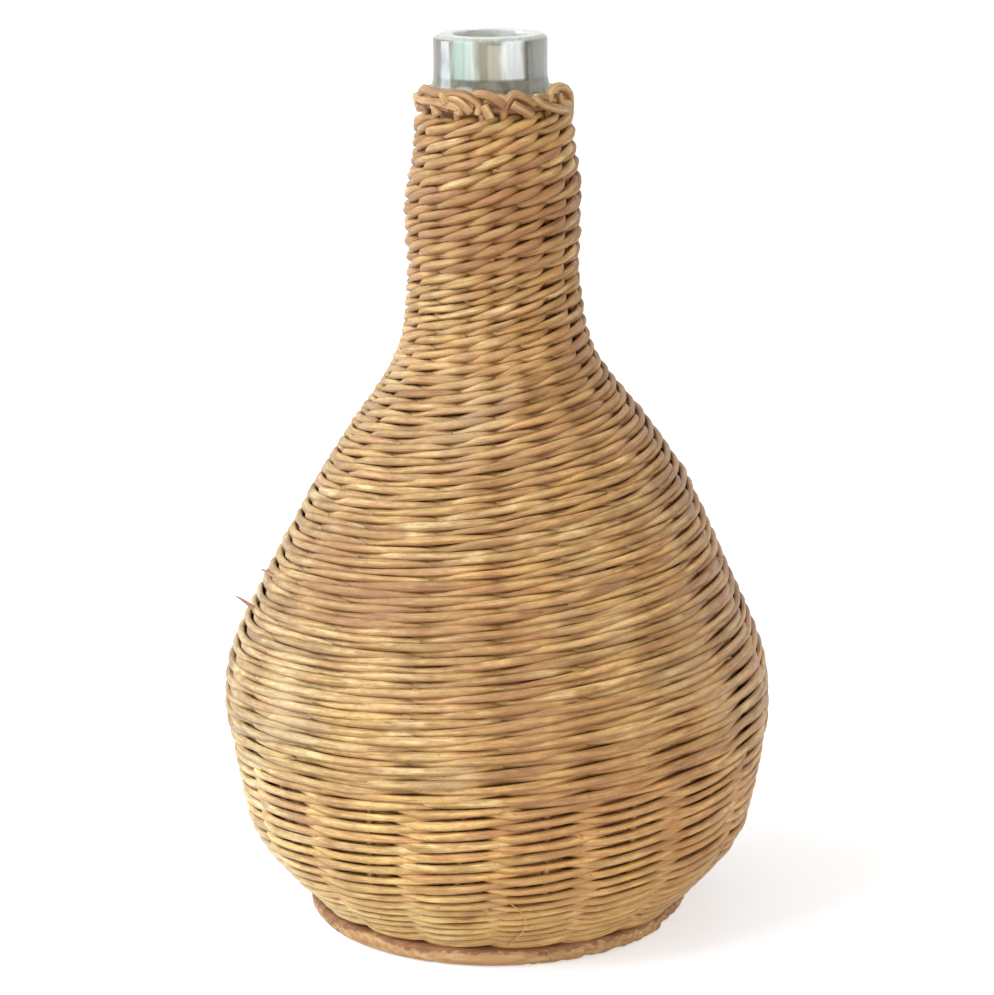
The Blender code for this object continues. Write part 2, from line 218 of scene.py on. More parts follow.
# Short rods pushed in beside them
BORDER_TUCKS = (
    ((-0.45, 0.5, 2.2), (0.2, 0.3, 3.6), (1.1, 0.3, 4), (2, 0.4, 3.6), (2.7, 0.5, 1.2)),
    ((0.62, 1.3, 5.6), (0.68, 1.35, 4.2), (0.74, 1.2, 2.4)),
    ((-0.9, 0.7, 3.2), (-0.8, 0.75, 1.2), (-0.62, 0.7, -1.4)),
    ((0.1, 1, 2.2), (0.2, 1.1, 0.6), (0.38, 1.1, -1.9)),
    ((0.27, 1.25, 2.5), (0.6, 1.4, 0.8), (1, 1.3, -1.3)),
    ((0.3, 0.3, 4), (0.7, 0.4, 3.6), (1.15, 0.4, 2.2)),
    ((0.42, 0.5, 4.4), (0.48, 0.6, 2), (0.55, 0.6, -1.2)),
    ((-0.5, 0.8, 1.2), (-0.1, 1, 0.6), (0.4, 0.9, -0.6)),
)
FIRST_BORDER_STAKE = 13
# Behind, where the border doesn't show in the photograph, the same ends lean, reach and rise
# by these shares
BACK_LEANS = (-0.1, 0.1)
BACK_REACHES = (0.85, 1.1)
BACK_LIFTS = (0.42, 0.52)
TUCK_GIRTHS = (0.85, 1.05)
# Painted shade on the stakes, from 0 dark to 1 lit: the uprights, the gain on the border ends,
# and the short rods
STAKE_SHADE = 0.3
BORDER_SHADE_GAIN = 0.48
TUCK_SHADE = 0.62


def periodic(values, phase):
    """Smooth curve through evenly spaced values that repeat, at a phase from 0 to 1."""
    count = len(values)
    place = np.mod(phase, 1.0) * count
    index = np.floor(place).astype(int)
    share = place - index
    before, here, there, after = (
        values[(index + offset) % count] for offset in (-1, 0, 1, 2)
    )
    slope_here = (there - before) / 2
    slope_there = (after - here) / 2
    squared, cubed = share**2, share**3
    return (
        (2 * cubed - 3 * squared + 1) * here
        + (cubed - 2 * squared + share) * slope_here
        + (3 * squared - 2 * cubed) * there
        + (cubed - squared) * slope_there
    )


def smooth_step(value, low, high):
    """Eased rise from 0 at low to 1 at high."""
    share = np.clip((value - low) / (high - low), 0.0, 1.0)
    return share * share * (3 - 2 * share)


def wander(random, positions, wavelength, amount, terms=3):
    """Smooth random wave along a rod, within about this amount of zero."""
    total = np.zeros_like(positions)
    for _ in range(terms):
        length = wavelength * random.uniform(*WAVE_SPREAD)
        total += np.sin(2 * math.pi * (positions / length + random.uniform()))
    return amount * (total / terms)


# Line of the stakes


class Outline:
    """Line in the plane through the axis, read by the length along it."""

    def __init__(self, radii, heights):
        self.radii = radii
        self.heights = heights
        steps = np.hypot(np.diff(radii), np.diff(heights))
        self.lengths = np.concatenate(([0.0], np.cumsum(steps)))
        rise = np.gradient(heights, self.lengths)
        run = np.gradient(radii, self.lengths)
        size = np.hypot(rise, run)
        self.out_radial = rise / size
        self.out_up = -run / size
        self.top = self.length_at(BEAD_BOTTOM)

    def length_at(self, height):
        """Length at which the line reaches this height."""
        return float(np.interp(height, self.heights, self.lengths))

    def at(self, length):
        """Radius, height and outward direction at these lengths."""
        return tuple(
            np.interp(length, self.lengths, values)
            for values in (self.radii, self.heights, self.out_radial, self.out_up)
        )


def glass_outline(spacing=1.0 * MM, softness=5.0 * MM, fitted=6, past=5):
    """Outside of the glass up to the bead and straight on past it, with its corners eased."""
    mesh = NODES["glass_bottle"].data
    tree = BVHTree.FromPolygons(
        [vertex.co for vertex in mesh.vertices], [face.vertices for face in mesh.polygons]
    )
    heights = np.arange(GLASS_LOW.z + spacing / 2, BEAD_BOTTOM, spacing)
    radii = []
    for height in heights:
        hit = tree.ray_cast(Vector((1.0, spacing / 10, height)), Vector((-1.0, 0.0, 0.0)))
        radii.append(hit[0].x)
    reach = int(3 * softness / spacing)
    kernel = np.exp(-0.5 * (np.arange(-reach, reach + 1) * spacing / softness) ** 2)
    kernel /= kernel.sum()
    ends = np.polyfit(heights[:fitted], radii[:fitted], 1)
    below = np.polyval(ends, heights[0] - spacing * np.arange(reach, 0, -1))
    padded = np.concatenate((below, radii, np.full(reach, radii[-1])))
    smooth = np.convolve(padded, kernel, "valid")
    above = heights[-1] + spacing * np.arange(1, past + 1)
    return Outline(np.append(smooth, np.full(past, smooth[-1])), np.append(heights, above))


def rod_size(column, heights):
    """Value of this column of ROD_SIZES at these heights, in mm."""
    return np.interp(heights, ROD_SIZES[:, 0] * MM, ROD_SIZES[:, column])


def stake_line(glass):
    """Middle of the stakes, which stand off the glass by the rod that runs behind them."""
    stand = (rod_size(3, glass.heights) + rod_size(4, glass.heights)) * MM
    stand += STAKE_DEPTH / 2 + 2 * CONTACT_GAP
    radii = glass.radii + glass.out_radial * stand
    heights = glass.heights + glass.out_up * stand
    kept = heights > BASE_TOP - STAKE_WIDTH
    return Outline(radii[kept], heights[kept])


def fullness(angle, height):
    """How far the basket stands out past a round one that is centred on the base."""
    shoulder = np.exp(-(((height - FULLNESS_HEIGHT) / FULLNESS_REACH) ** 2))
    shift = np.interp(height, SIDE_SHIFTS[:, 0] * MM, SIDE_SHIFTS[:, 1] * MM)
    right = np.cos(angle)
    belly = np.exp(-(((height - FLATNESS_HEIGHT) / FLATNESS_REACH) ** 2))
    flat = FLATNESS * np.maximum(0.0, -np.sin(angle)) ** 3 * belly
    return shift * right + FULLNESS * (1 + right) / 2 * shoulder - flat


def stake_angle(step, height):
    """Angle round the axis at this count of stakes, with the stakes' own drift."""
    drift = periodic(STAKE_SWAY, step / STAKE_COUNT)
    return FIRST_STAKE_ANGLE + STAKE_STEP * step + drift * smooth_step(
        height, BASE_TOP, BASE_TOP + SWAY_HEIGHT
    )


def unit(vectors):
    """The same directions with a length of one."""
    return vectors / np.linalg.norm(vectors, axis=1, keepdims=True)


def turned(radius, angle, height):
    """Points in space from their radius, angle and height."""
    return np.stack((radius * np.cos(angle), radius * np.sin(angle), height), axis=-1)


# Tubes


class Tube:
    """Rod along a path: middles, outward sides, half sizes and what its material reads."""

    def __init__(self, middles, outward, thickness, height, tint, shade, cut=False):
        self.middles = middles
        self.outward = outward
        self.thickness = np.broadcast_to(thickness, len(middles))
        self.height = np.broadcast_to(height, len(middles))
        self.tint = tint
        self.shade = np.broadcast_to(shade, len(middles))
        self.cut = cut

    def rings(self, sides):
        """Corners, and for each its grain place, painted shade, its side for painted underside
        shade, and its cut end.
        """
        along = unit(np.gradient(self.middles, axis=0))
        side = unit(np.cross(along, self.outward))
        outward = np.cross(side, along)
        turn = 2 * math.pi * np.arange(sides) / sides
        steps = np.linalg.norm(np.diff(self.middles, axis=0), axis=1)
        length = np.concatenate(([0.0], np.cumsum(steps)))
        spin = 2 * math.pi * (length / TWIST_LENGTH + self.tint * TINT_SPIN)[:, None]
        uneven = 1 + UNEVENNESS * np.cos(2 * turn - spin)
        uneven += UNEVENNESS * THREE_SIDED_SHARE * np.cos(3 * turn + THREE_SIDED_SPIN * spin)
        half_height = self.height[:, None] / 2
        out_part = np.cos(turn) * uneven * (self.thickness[:, None] / 2)
        side_part = np.sin(turn) * uneven * half_height
        corners = (
            self.middles[:, None, :]
            + outward[:, None, :] * out_part[..., None]
            + side[:, None, :] * side_part[..., None]
        )
        grain = np.empty(corners.shape)
        grain[..., 0] = length[:, None] + self.tint * TINT_GRAIN_ALONG
        grain[..., 1] = np.cos(turn) * half_height
        grain[..., 2] = np.sin(turn) * half_height + self.tint * TINT_GRAIN_ACROSS
        # Painted shade: a rod is drawn darker on its back, and on one side, which is the
        # underside of a weaver and the right side of a stake
        facing = (1 + np.cos(turn)) / 2
        shade = self.shade[:, None] * (BACK_SHADE + (1 - BACK_SHADE) * facing)
        painted_side_shade = np.broadcast_to(np.sin(turn), shade.shape)
        cut = np.zeros(shade.shape)
        layers = [corners, grain, shade, painted_side_shade, cut]
        if self.cut:
            layers = [np.concatenate((layer[:1], layer, layer[-1:])) for layer in layers]
            for end in (0, -1):
                layers[0][end] += END_ROUNDING * (self.middles[end] - layers[0][end])
                layers[4][end] = 1.0
        return layers


def ring_quads(rings, sides, first=0):
    """Quads between rings of corners that follow one another from this first corner on."""
    ring = np.arange(rings - 1)[:, None] * sides + first
    corner = np.arange(sides)
    after = (corner + 1) % sides
    quads = np.stack(
        (ring + corner, ring + after, ring + sides + after, ring + sides + corner), axis=-1
    )
    return quads.reshape(-1, 4).tolist()


def tube_faces(rings, sides, first):
    """Quads between rings, and one cap at each end."""
    faces = ring_quads(rings, sides, first)
    last = first + (rings - 1) * sides
    faces.append([first + i for i in reversed(range(sides))])
    faces.append([last + i for i in range(sides)])
    return faces


def new_mesh(name, corners, faces):
    mesh = bpy.data.meshes.new(name)
    mesh.from_pydata(corners, [], faces)
    return mesh


def add_object(name, data):
    added = bpy.data.objects.new(name, data)
    bpy.context.scene.collection.objects.link(added)
    return added


def add_piece(name, mesh, material, slot, *nodes):
    """Puts a finished mesh in the scene as a piece of the object."""
    mesh.materials.append(material)
    mesh.shade_smooth()
    piece = add_object(name, mesh)
    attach(piece, "root")
    if nodes:
        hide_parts(*nodes)


def tube_mesh(name, tubes, sides=ROD_SIDES):
    """One mesh of many tubes, with the layers that the cane's material reads."""
    layers = {"corners": [], "grain": [], "shade": [], "painted_side_shade": [], "cut": [], "tint": []}
    faces = []
    first = 0
    for tube in tubes:
        corners, grain, shade, painted_side_shade, cut = tube.rings(sides)
        tint = np.full(shade.shape, tube.tint)
        for layer, values in zip(layers.values(), (corners, grain, shade, painted_side_shade, cut, tint)):
            layer.append(values.reshape(-1, *values.shape[2:]))
        faces += tube_faces(len(shade), sides, first)
        first += shade.size
    joined = {layer: np.concatenate(values) for layer, values in layers.items()}
    mesh = new_mesh(name, joined.pop("corners").tolist(), faces)
    for layer, values in joined.items():
        kind, field = ("FLOAT_VECTOR", "vector") if values.ndim == 2 else ("FLOAT", "value")
        attribute = mesh.attributes.new(layer, kind, "POINT")
        attribute.data.foreach_set(field, values.astype(np.float32).ravel())
    return mesh


# Weave


class Weave:
    """Rods that wind up between two lengths of the stake line, counted in stakes passed."""

    def __init__(self, line, start, end, rises, depths):
        self.line = line
        self.rises = rises
        self.depths = depths
        self.rod_count = len(rises) // 2
        self.lengths = np.arange(start, end, WEAVE_SPACING)
        _, heights, _, _ = line.at(self.lengths)
        per_length = STAKE_COUNT / (rod_size(1, heights) * MM)
        steps = np.cumsum(per_length[:-1] * np.diff(self.lengths))
        whole = round(steps[-1] / STAKE_COUNT) * STAKE_COUNT
        self.steps = np.concatenate(([0.0], steps)) * whole / steps[-1]

    def rod(self, number, steps, end, random):
        """Tube of one rod over these steps, with what lies past its end turned outward."""
        phase = (steps + number) / self.rod_count
        length = np.interp(steps, self.steps, self.lengths)
        heights = self.line.at(length)[1]
        pitch, height, thickness = (rod_size(i, heights) * MM for i in (1, 2, 3))
        shift = periodic(self.rises, phase) * pitch
        shift += wander(random, steps, *RISE_STRAY)
        freed = smooth_step(steps, end, end + FREED_LENGTH)
        shift -= freed * height * FREED_SINK
        depth = (thickness + STAKE_DEPTH) / 2 + CONTACT_GAP
        relief = periodic(self.depths, phase)
        radius, middle, out_radial, out_up = self.line.at(length + shift)
        angle = stake_angle(steps + SPIRAL_START, middle)
        away = relief * depth + fullness(angle, middle)
        away += wander(random, steps, *DEPTH_STRAY) + freed * thickness * FREED_STAND_OFF
        middles = turned(radius + out_radial * away, angle, middle + out_up * away)
        outward = turned(out_radial, angle, out_up)
        girth = 1 + GIRTH_SPREAD * random.uniform(-1, 1) - FREED_THINNING * freed
        for stray in GIRTH_STRAYS:
            girth = girth + wander(random, steps, *stray)
        loose = smooth_step(heights, *LOOSE_HEIGHTS) * np.maximum(0.0, np.cos(angle)) ** 2
        girth = girth * (1 - LOOSENESS * loose)
        # Painted shade: the shade that the material reads darkens a rod where it runs behind the
        # stakes
        return Tube(
            middles, outward, thickness * girth, height * girth,
            random.uniform(), (1 + relief) / 2,
        )

    def rods(self, random, lead=0):
        """Every rod length of the weave, as (height, tube), after a level turn of lead steps."""
        last = self.steps[-1]
        for number in range(self.rod_count):
            start = float(-number % self.rod_count) - lead
            while start < last - self.rod_count:
                end = start + self.rod_count * random.integers(*ROD_STROKES)
                if end > last - 2 * self.rod_count:
                    end = last
                loose_end = random.uniform(*END_LENGTHS) if end < last else 0.0
                count = int(round((end + loose_end - start) * SAMPLES_PER_STEP))
                steps = np.linspace(start, end + loose_end, count + 1)
                middle = np.interp((start + end) / 2, self.steps, self.lengths)
                yield self.line.at(middle)[1], self.rod(number, steps, end, random)
                start = end


def lowest_length(line):
    """Length along the stake line at which the first course rests on the base."""
    lengths = np.arange(0.0, line.lengths[-1] / 2, SEARCH_SPACING)
    _, heights, _, out_up = line.at(lengths)
    height, thickness = rod_size(2, heights) * MM, rod_size(3, heights) * MM
    front = heights + out_up * (STAKE_DEPTH + thickness) / 2
    return lengths[np.argmax(front - height / 2 > BASE_TOP)]


def make_hoops(line, random):
    """Two rods that lie round the neck behind the border ends of the stakes."""
    steps = np.linspace(0, STAKE_COUNT + HOOP_OVERLAP, STAKE_COUNT * SAMPLES_PER_STEP)
    radius, top, _, _ = line.at(line.top)
    for start, rise in HOOPS:
        height = top + rise + wander(random, steps, *HOOP_RISE_STRAY)
        angle = stake_angle(start + steps, height)
        away = fullness(angle, height) + wander(random, steps, *HOOP_DEPTH_STRAY)
        size = HOOP_DIAMETER * (1 + wander(random, steps, *HOOP_GIRTH_STRAY))
        outward = turned(np.ones_like(steps), angle, np.zeros_like(steps))
        middles = turned(radius + away, angle, height)
        yield Tube(middles, outward, size, size, random.uniform(), HOOP_SHADE)


def make_weavers(line, material):
    """The rods in as many pieces as the solids have, from the base to the border."""
    random = np.random.default_rng(WEAVER_SEED)
    change = line.length_at(PAIR_TOP)
    top = line.top - BORDER_ROOM
    weaves = (
        Weave(line, lowest_length(line), change, PAIR_RISE_SHARES, PAIR_DEPTH_SHARES),
        Weave(line, change, top, WALE_RISE_SHARES, WALE_DEPTH_SHARES),
    )
    groups = [[] for _ in WEAVERS]
    # Only the pairing starts with a level turn, which rests on the base
    for weave, lead in zip(weaves, (STAKE_COUNT - 1, 0)):
        for height, tube in weave.rods(random, lead):
            share = (height - BASE_TOP) / (BEAD_BOTTOM - BASE_TOP)
            groups[int(share * len(groups))].append(tube)
    groups[-1] += make_hoops(line, random)
    for node, tubes in zip(WEAVERS, groups):
        name = node.replace("weaver", "wale")
        add_piece(name, tube_mesh(name, tubes), material, "weaver_cane", node)


# Stakes with their border ends


def spline_path(points, samples):
    """Smooth path through given points."""
    points = np.asarray(points)
    ends = np.concatenate((
        [2 * points[0] - points[1]], points, [2 * points[-1] - points[-2]]
    ))
    share = np.linspace(0, 1, samples, endpoint=False)[:, None]
    pieces = []
    for before, here, there, after in zip(ends, ends[1:], ends[2:], ends[3:]):
        pieces.append(0.5 * (
            2 * here + (there - before) * share
            + (2 * before - 5 * here + 4 * there - after) * share**2
            + (3 * here - before - 3 * there + after) * share**3
        ))
    return np.concatenate(pieces + [points[-1:]])


def border_points(line, number, shape, random):
    """Places of a border rod by the stake with this number."""
    radius, height, _, _ = line.at(line.top)
    if (number - FIRST_BORDER_STAKE) % STAKE_COUNT < len(BORDER_ENDS):
        lean, lift, reach = 0.0, 1.0, 1.0
    else:
        lean, reach = random.uniform(*BACK_LEANS), random.uniform(*BACK_REACHES)
        lift = random.uniform(*BACK_LIFTS)
    points = []
    for turn, away, up in shape:
        angle = stake_angle(number + turn * reach + lean, height)
        out = away * BORDER_STAND_OFF + fullness(angle, height)
        points.append(turned(radius + out, angle, height + up * MM * (lift if up > 0 else 1)))
    return points


def path_tube(points, size, depth, random, shade, cut=False):
    """Tube through points, with its outward side turned from the axis."""
    path = spline_path(points, SPLINE_SAMPLES)
    along = unit(np.gradient(path, axis=0))
    outward = unit(path * (1, 1, 0))
    outward = unit(outward - along * (outward * along).sum(axis=1, keepdims=True))
    return Tube(path, outward, depth, size, random.uniform(), shade, cut)


def make_stakes(line, material):
    """Each stake with its border end, and the short rod pushed in beside it."""
    random = np.random.default_rng(STAKE_SEED)
    for number, node in enumerate(STAKES):
        lengths = np.arange(line.top, 0.0, -STAKE_SPACING)[::-1]
        radius, height, out_radial, out_up = line.at(lengths)
        angle = stake_angle(number, height)
        radius = radius + out_radial * fullness(angle, height)
        upright = list(turned(radius, angle, height))
        foot = upright[0].copy()
        foot[2] = BASE_TOP - STAKE_SEAT
        shape = (number - FIRST_BORDER_STAKE) % STAKE_COUNT % len(BORDER_ENDS)
        points = [foot] + upright + border_points(line, number, BORDER_ENDS[shape], random)
        border = np.repeat((0.0, 1.0), (len(upright), len(points) - len(upright)))
        samples = np.arange(SPLINE_SAMPLES * (len(points) - 1) + 1) / SPLINE_SAMPLES
        border = np.interp(samples, np.arange(len(points)), border)
        size = STAKE_WIDTH + border * (BORDER_DIAMETER - STAKE_WIDTH)
        depth = STAKE_DEPTH + border * (BORDER_DIAMETER - STAKE_DEPTH)
        shade = STAKE_SHADE + BORDER_SHADE_GAIN * border
        tubes = [path_tube(points, size, depth, random, shade, True)]
        tuck = BORDER_DIAMETER * random.uniform(*TUCK_GIRTHS)
        points = border_points(line, number, BORDER_TUCKS[shape], random)
        tubes.append(path_tube(points, tuck, tuck, random, TUCK_SHADE, True))
        name = node.replace("stake", "cane_stake")
        add_piece(name, tube_mesh(name, tubes), material, "stake_cane", node)


def make_splinters(line, material):
    """Frayed ends of rods, and one thin fibre low on the front."""
    random = np.random.default_rng(SPLINTER_SEED)
    tubes = []
    for degrees, height, aside, rise, size in SPLINTERS:
        radius, middle, out_radial, out_up = line.at(line.length_at(height * MM))
        start = FRONT_ANGLE + math.radians(degrees)
        radius += fullness(start, middle)
        points = []
        flare = SPLINTER_FLARE * abs(aside) * abs(math.sin(math.radians(degrees)))
        for share in np.linspace(0, 1, SPLINTER_POINTS):
            angle = start + aside * MM * share / radius
            away = SPLINTER_ROOT + rise * (share - SPLINTER_CURL * share**2) + flare * share
            arch = SPLINTER_ARCH[0] * share - SPLINTER_ARCH[1] * share**2
            points.append(turned(
                radius + out_radial * away * MM, angle,
                middle + out_up * away * MM + arch * MM,
            ))
        girth = size * MM * np.linspace(1.0, SPLINTER_TIP, SPLINE_SAMPLES * (len(points) - 1) + 1)
        tubes.append(path_tube(points, girth, girth, random, SPLINTER_SHADE))
    fibre = []
    for degrees, height, away in FIBRE:
        radius, middle, out_radial, out_up = line.at(line.length_at(height * MM))
        angle = FRONT_ANGLE + math.radians(degrees)
        away *= MM
        fibre.append(turned(radius + out_radial * away, angle, middle + out_up * away))
    tubes.append(path_tube(fibre, FIBRE_DIAMETER, FIBRE_DIAMETER, random, FIBRE_SHADE))
    mesh = tube_mesh("splinters", tubes, SPLINTER_SIDES)
    add_piece("splinters", mesh, material, "weaver_cane")


# Materials


class Graph:
    """Short way to add nodes and links to a material or to the world."""

    def __init__(self, owner, shader="Principled BSDF"):
        owner.use_nodes = True
        self.owner = owner
        self.tree = owner.node_tree
        self.shader = self.tree.nodes[shader]

    def add(self, kind, inputs=None, **settings):
        """New node with these settings, and with a value or link for each of these inputs."""
        node = self.tree.nodes.new(kind)
        for key, value in settings.items():
            setattr(node, key, value)
        for key, value in (inputs or {}).items():
            self.put(node.inputs[key], value)
        return node

    def put(self, socket, value):
        if isinstance(value, bpy.types.NodeSocket):
            self.tree.links.new(value, socket)
        else:
            socket.default_value = value

    def shade(self, **inputs):
        """Values or links for the inputs of the shader itself, such as Base_Color."""
        for key, value in inputs.items():
            self.put(self.shader.inputs[key.replace("_", " ")], value)

    def attribute(self, name, output="Fac"):
        return self.add("ShaderNodeAttribute", attribute_name=name).outputs[output]

    def places(self):
        """Place on the object, and how far across, deep and high it is."""
        place = self.add("ShaderNodeTexCoord").outputs["Object"]
        parts = self.add("ShaderNodeSeparateXYZ", {"Vector": place})
        return place, *(parts.outputs[axis] for axis in "XYZ")

    def seen(self):
        """1 for rays on which the camera sees things, also in glass, and 0 for others."""
        path = self.add("ShaderNodeLightPath")
        return self.math("MAXIMUM", path.outputs["Is Camera Ray"], self.math(
            "MAXIMUM", path.outputs["Is Glossy Ray"], path.outputs["Is Transmission Ray"]
        ))

    def math(self, operation, *values):
        node = self.add("ShaderNodeMath", dict(enumerate(values)), operation=operation)
        return node.outputs[0]

    def noise(self, vector, scale, detail=3.0, roughness=0.55):
        """Noise at one scale, or at one for each direction."""
        if isinstance(scale, tuple):
            node = self.add("ShaderNodeVectorMath", {0: vector, 1: scale}, operation="MULTIPLY")
            vector, scale = node.outputs[0], 1.0
        node = self.add("ShaderNodeTexNoise", {
            "Vector": vector, "Scale": scale, "Detail": detail, "Roughness": roughness,
        })
        return node.outputs["Fac"]

    def ramp(self, value, stops):
        node = self.add("ShaderNodeValToRGB", {"Fac": value})
        elements = node.color_ramp.elements
        while len(elements) < len(stops):
            elements.new(0.5)
        for element, (place, colour) in zip(elements, stops):
            element.position = place
            element.color = (*colour, 1.0)[:4]
        return node.outputs["Color"]

    def levels(self, value, low, high, start=0.0, end=1.0):
        node = self.add("ShaderNodeMapRange", {
            "Value": value, "From Min": low, "From Max": high, "To Min": start, "To Max": end,
        })
        return node.outputs["Result"]

    def mix(self, share, first, second, blend="MIX"):
        node = self.add(
            "ShaderNodeMix", {0: share, 6: first, 7: second}, data_type="RGBA", blend_type=blend
        )
        return node.outputs[2]

    def times(self, colour, factor):
        return self.mix(1.0, colour, factor, "MULTIPLY")

    def changed(self, colour, reads, changes):
        """Colour after a table of changes, each as (read, low, high, start, end, tone)."""
        for read, low, high, start, end, tone in changes:
            share = self.levels(reads[read], low, high, start, end)
            colour = self.mix(share, colour, srgb(tone))
        return colour

    def bump(self, height, strength, distance):
        node = self.add("ShaderNodeBump", {
            "Height": height, "Strength": strength, "Distance": distance,
        })
        self.shade(Normal=node.outputs["Normal"])


def srgb(tone):
    """Linear colour from the 0 to 255 values of a screen."""
    shares = np.array(tone) / 255
    linear = np.where(shares <= 0.04045, shares / 12.92, ((shares + 0.055) / 1.055) ** 2.4)
    return (*linear.tolist(), 1.0)


def tones(*stops):
    """Stops of a ramp from places and tones."""
    return tuple((place, srgb(tone)) for place, tone in stops)


WEAVER_TONES = tones(
    (0.0, (190, 138, 80)), (0.18, (212, 164, 100)), (0.34, (220, 178, 112)),
    (0.48, (212, 156, 100)), (0.6, (220, 174, 104)), (0.74, (200, 156, 90)),
    (0.88, (232, 196, 134)), (1.0, (204, 150, 90)),
)
STAKE_TONES = tones(
    (0.0, (166, 116, 76)), (0.25, (208, 162, 106)), (0.5, (222, 184, 124)),
    (0.7, (196, 148, 96)), (1.0, (224, 190, 128)),
)
# Hue of a rod by its tint and its patches, and lightness by a second draw from its tint
TINT_HUES = (0.0, 1.0, 0.12, 0.88)
PATCH_HUES = (0.3, 0.7, -0.16, 0.16)
LIGHTNESS_DRAW = 37
LIGHTNESS = ((0.0, (0.84, 0.82, 0.8)), (0.5, (1.0, 1.0, 1.0)), (1.0, (1.1, 1.1, 1.1)))
# Patterns in the cane: scales along and across, detail and roughness of their noise, and the
# factors that they give
CANE_PATTERNS = {
    "fibres": (((80, 2200, 2200), 4.0, 0.6), (
        (0.36, (0.9, 0.88, 0.86)), (0.64, (1.07, 1.07, 1.07)),
    )),
    # Grain streaks, whose bright ends are also painted highlight glints
    "streaks_and_glints": (((80, 1100, 1100), 3.0, 0.6), (
        (0.36, (0.72, 0.66, 0.6)), (0.5, (0.98, 0.98, 0.98)), (0.62, (1.18, 1.2, 1.22)),
    )),
    "mottle": (((260, 700, 700), 3.0, 0.65), (
        (0.36, (0.82, 0.79, 0.75)), (0.62, (1.12, 1.14, 1.18)),
    )),
    "patches": (((60, 160, 160), 2.0), (
        (0.36, (0.8, 0.74, 0.68)), (0.64, (1.12, 1.15, 1.2)),
    )),
}
SPECK_NOISE = ((520, 1400, 1400), 1.0)
STAIN_NOISE = (15, 4.0, 0.65)
# Changes of tone: what they follow, from and to which value, the share at both, and the tone
STAINS = (
    ("stains", 0.5, 0.64, 0.0, 0.55, (166, 108, 60)),
    ("stains", 0.46, 0.34, 0.0, 0.35, (236, 206, 158)),
    ("height", 10 * MM, 50 * MM, 0.3, 0.0, (212, 174, 108)),
)
# Dark specks and pale cut ends; painted shade on rods' backs and undersides, behind the stakes
# and on the hoops behind the border; the shade rows also darken the splinters
MARKS_AND_PAINTED_SHADE = (
    ("specks", 0.68, 0.74, 0.0, 0.5, (112, 70, 36)),
    ("painted_side_shade", 0.0, 0.8, 0.0, 0.62, (148, 98, 52)),
    ("shade", 0.0, 0.3, 0.25, 0.0, (150, 98, 52)),
    ("shade", -1.0, 0.0, 0.75, 0.0, (122, 70, 44)),
    ("cut", 0.1, 0.9, 0.0, 0.8, (226, 196, 152)),
)
# Painted light across the cane, a cool painted sheen on the left and painted shade on the right:
# reach to left and right, and factors from left to right
PAINTED_LIGHT_REACH = 80 * MM
PAINTED_SIDE_LIGHT = (
    (0.0, (0.98, 1.12, 1.31)), (0.22, (1.02, 1.1, 1.12)), (0.5, (0.9, 0.87, 0.79)),
    (0.76, (0.97, 0.96, 0.89)), (1.0, (0.88, 0.82, 0.78)),
)
# Heights up to which the low cane is paler and from which the neck is darker, and factors
LOW_FADE, LOW_FACTOR = (52 * MM, 74 * MM), (1.16, 1.16, 1.06, 1.0)
NECK_FADE, NECK_FACTOR = (175 * MM, 215 * MM), (0.92, 0.9, 0.88, 1.0)
CANE_ROUGHNESS = (0.3, 0.7, 0.38, 0.5)
CANE_RELIEF = 0.3 * MM


def cane_material(name, rod_tones):
    """Cane with its fibres, stains and pale cut ends, a painted sheen on the left, and painted
    shade on the right, on undersides and in recesses.
    """
    graph = Graph(bpy.data.materials.new(name))
    grain = graph.attribute("grain", "Vector")
    place, across, _, height = graph.places()
    reads = {layer: graph.attribute(layer) for layer in ("tint", "shade", "painted_side_shade", "cut")}
    reads["height"] = height
    reads["stains"] = graph.noise(place, *STAIN_NOISE)
    reads["specks"] = graph.noise(grain, *SPECK_NOISE)
    for pattern, (settings, _) in CANE_PATTERNS.items():
        reads[pattern] = graph.noise(grain, *settings)
    tint_hue = graph.levels(reads["tint"], *TINT_HUES)
    patch_hue = graph.levels(reads["patches"], *PATCH_HUES)
    colour = graph.ramp(graph.math("ADD", tint_hue, patch_hue), rod_tones)
    draw = graph.math("FRACT", graph.math("MULTIPLY", reads["tint"], LIGHTNESS_DRAW))
    colour = graph.times(colour, graph.ramp(draw, LIGHTNESS))
    for pattern, (_, factors) in CANE_PATTERNS.items():
        colour = graph.times(colour, graph.ramp(reads[pattern], factors))
    colour = graph.changed(colour, reads, STAINS)
    # Painted light: a cool painted sheen on the left of the basket and painted shade on its right
    side = graph.levels(across, -PAINTED_LIGHT_REACH, PAINTED_LIGHT_REACH)
    colour = graph.times(colour, graph.ramp(side, PAINTED_SIDE_LIGHT))
    low = graph.levels(height, *LOW_FADE)
    colour = graph.mix(low, graph.times(colour, LOW_FACTOR), colour)
    neck = graph.levels(height, *NECK_FADE)
    colour = graph.mix(neck, colour, graph.times(colour, NECK_FACTOR))
    graph.shade(
        Base_Color=graph.changed(colour, reads, MARKS_AND_PAINTED_SHADE),
        Roughness=graph.levels(reads["streaks_and_glints"], *CANE_ROUGHNESS),
        Specular_IOR_Level=0.58, Sheen_Weight=0.05, Sheen_Roughness=0.4,
    )
    coarse = graph.math("ADD", reads["streaks_and_glints"], reads["mottle"])
    graph.bump(graph.math("ADD", reads["fibres"], coarse), 1.0, CANE_RELIEF)
    return graph.owner


